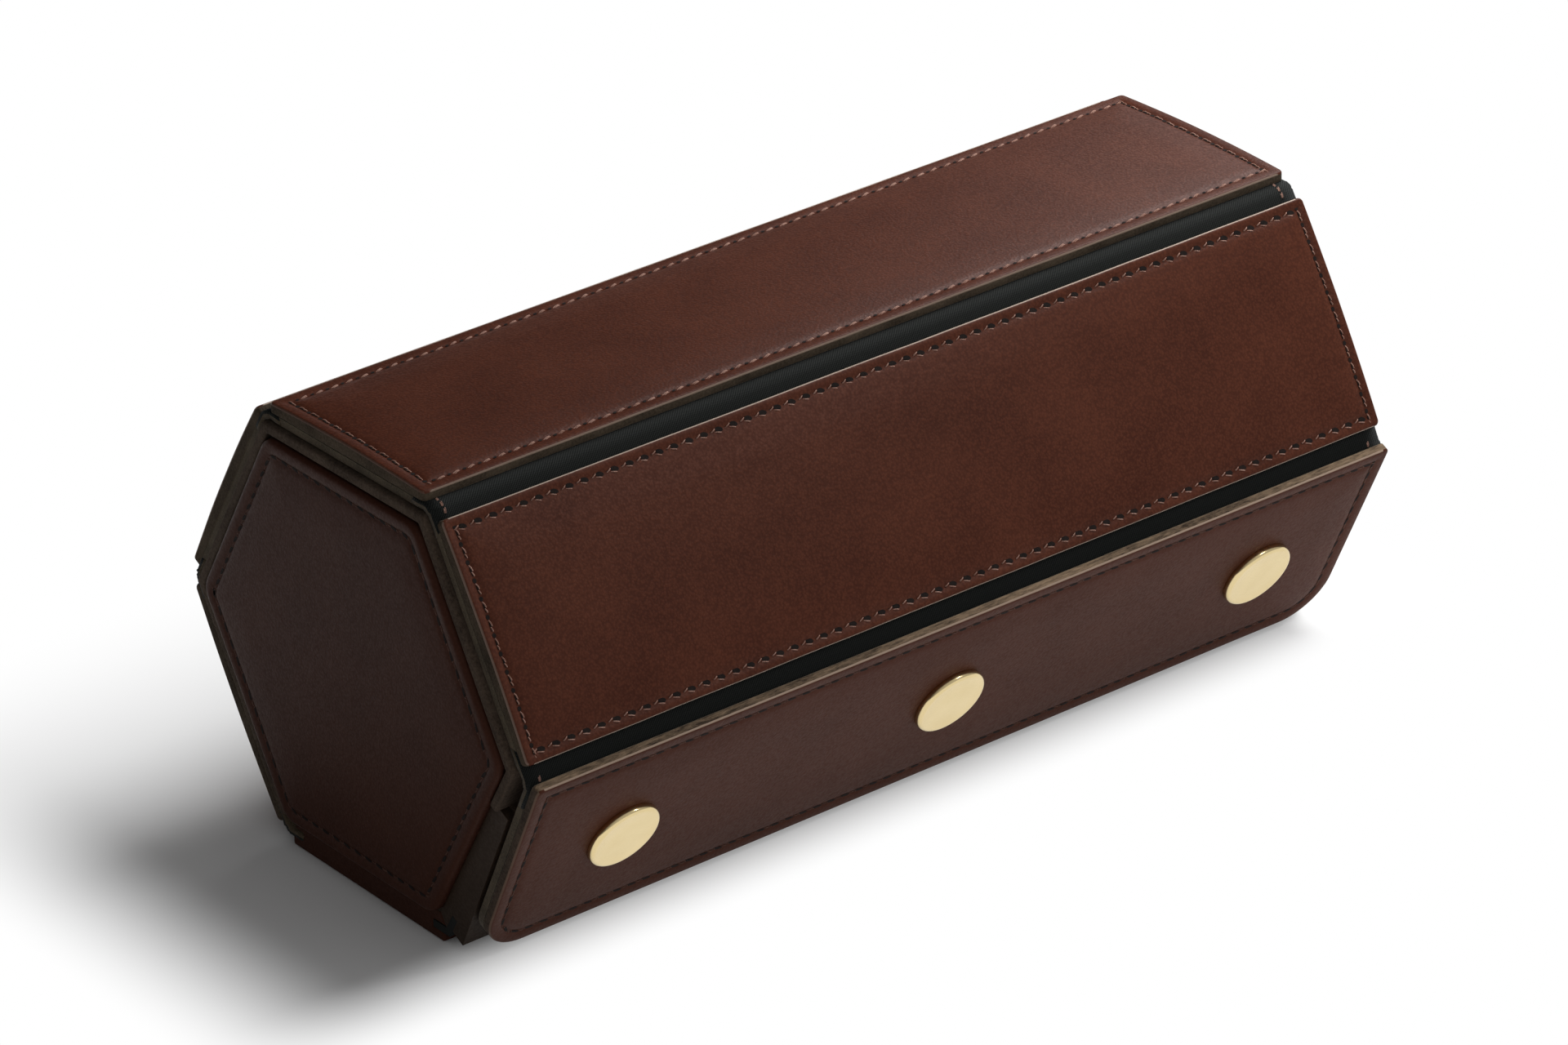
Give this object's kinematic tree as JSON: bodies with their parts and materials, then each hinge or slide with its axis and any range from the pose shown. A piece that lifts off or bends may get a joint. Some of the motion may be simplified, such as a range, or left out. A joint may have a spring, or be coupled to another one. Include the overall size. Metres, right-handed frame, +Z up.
{
  "type": "watch roll",
  "caption": "Hexagonal leather watch roll: hinged panels wrap a tray with watch cushions and close with a snap flap on the front wall.",
  "frame": {"origin": "Middle of the flat underside of the tray base, on the surface that the closed roll stands on.", "axes": "+X along the roll to the right as seen from the front, -Y out through the snap flap, +Z up."},
  "size_m": [0.203, 0.1038, 0.09],
  "materials": {
    "panel_leather": "chestnut brown vegetable-tanned leather, semi-gloss",
    "tray_leather": "dark brown smooth leather",
    "suede": "olive brown suede lining, matt",
    "cushion_suede": "olive brown suede over foam",
    "hinge_fabric": "black fine twill",
    "board": "fibre board",
    "padding": "foam padding",
    "brass": "satin brass"
  },
  "bodies": {
    "root": {"base_board": "board", "base_leather": "tray_leather", "base_lining": "suede", "base_padding": "padding", "corner_fabric": "hinge_fabric", "divider_board_left": "board", "divider_board_right": "board", "divider_suede_left": "suede", "divider_suede_right": "suede", "end_board_left": "board", "end_board_right": "board", "end_collar_left": "tray_leather", "end_collar_right": "tray_leather", "end_face_left": "tray_leather", "end_face_right": "tray_leather", "end_lining_left": "suede", "end_lining_right": "suede", "front_wall_leather": "tray_leather", "front_wall_lining": "suede", "front_wall_padding": "padding", "hinge_fabric_rear_bottom": "hinge_fabric", "snap_rivet_centre": "brass", "snap_rivet_left": "brass", "snap_rivet_right": "brass", "snap_stud_centre": "brass", "snap_stud_left": "brass", "snap_stud_right": "brass"},
    "rear_lower": {"rear_lower_leather": "panel_leather", "rear_lower_lining": "suede", "hinge_fabric_rear_middle": "hinge_fabric"},
    "rear_upper": {"rear_upper_leather": "panel_leather", "rear_upper_lining": "suede", "hinge_fabric_rear_top": "hinge_fabric"},
    "top": {"top_leather": "panel_leather", "top_lining": "suede", "hinge_fabric_front_top": "hinge_fabric"},
    "front": {"front_leather": "panel_leather", "front_lining": "suede", "hinge_fabric_flap": "hinge_fabric"},
    "flap": {"flap_leather": "panel_leather", "flap_lining": "suede", "snap_cap_left": "brass", "snap_cap_centre": "brass", "snap_cap_right": "brass", "snap_socket_left": "brass", "snap_socket_centre": "brass", "snap_socket_right": "brass"},
    "cushion_left": {"cushion_cover_left": "cushion_suede", "cushion_core_left": "padding"},
    "cushion_centre": {"cushion_cover_centre": "cushion_suede", "cushion_core_centre": "padding"},
    "cushion_right": {"cushion_cover_right": "cushion_suede", "cushion_core_right": "padding"}
  },
  "joints": [
    {"name": "unroll", "type": "hinge", "parent": "root", "child": "rear_lower", "pos_m": [0, 0.02483, 0.002], "axis": [-1, 0, 0], "range_deg": [0, 60], "deforming": ["hinge_fabric_rear_bottom"]},
    {"name": "rear_middle_hinge", "type": "hinge", "parent": "rear_lower", "child": "rear_upper", "pos_m": [0, 0.04965, 0.045], "axis": [-1, 0, 0], "range_deg": [0, 60], "deforming": ["hinge_fabric_rear_middle"]},
    {"name": "rear_top_hinge", "type": "hinge", "parent": "rear_upper", "child": "top", "pos_m": [0, 0.02483, 0.088], "axis": [-1, 0, 0], "range_deg": [0, 60], "deforming": ["hinge_fabric_rear_top"]},
    {"name": "front_top_hinge", "type": "hinge", "parent": "top", "child": "front", "pos_m": [0, -0.02483, 0.088], "axis": [-1, 0, 0], "range_deg": [0, 60], "deforming": ["hinge_fabric_front_top"]},
    {"name": "flap_hinge", "type": "hinge", "parent": "front", "child": "flap", "pos_m": [0, -0.05081, 0.04299], "axis": [-1, 0, 0], "range_deg": [0, 55.3], "deforming": ["hinge_fabric_flap"]},
    {"name": "cushion_lift_left", "type": "slide", "parent": "root", "child": "cushion_left", "axis": [0, 0, 1], "range_m": [0, 0.03]},
    {"name": "cushion_lift_centre", "type": "slide", "parent": "root", "child": "cushion_centre", "axis": [0, 0, 1], "range_m": [0, 0.03]},
    {"name": "cushion_lift_right", "type": "slide", "parent": "root", "child": "cushion_right", "axis": [0, 0, 1], "range_m": [0, 0.03]}
  ],
  "couplings": [
    {"joint": "rear_middle_hinge", "follows": "unroll", "ratio": 1},
    {"joint": "rear_top_hinge", "follows": "unroll", "ratio": 1},
    {"joint": "front_top_hinge", "follows": "unroll", "ratio": 1}
  ]
}
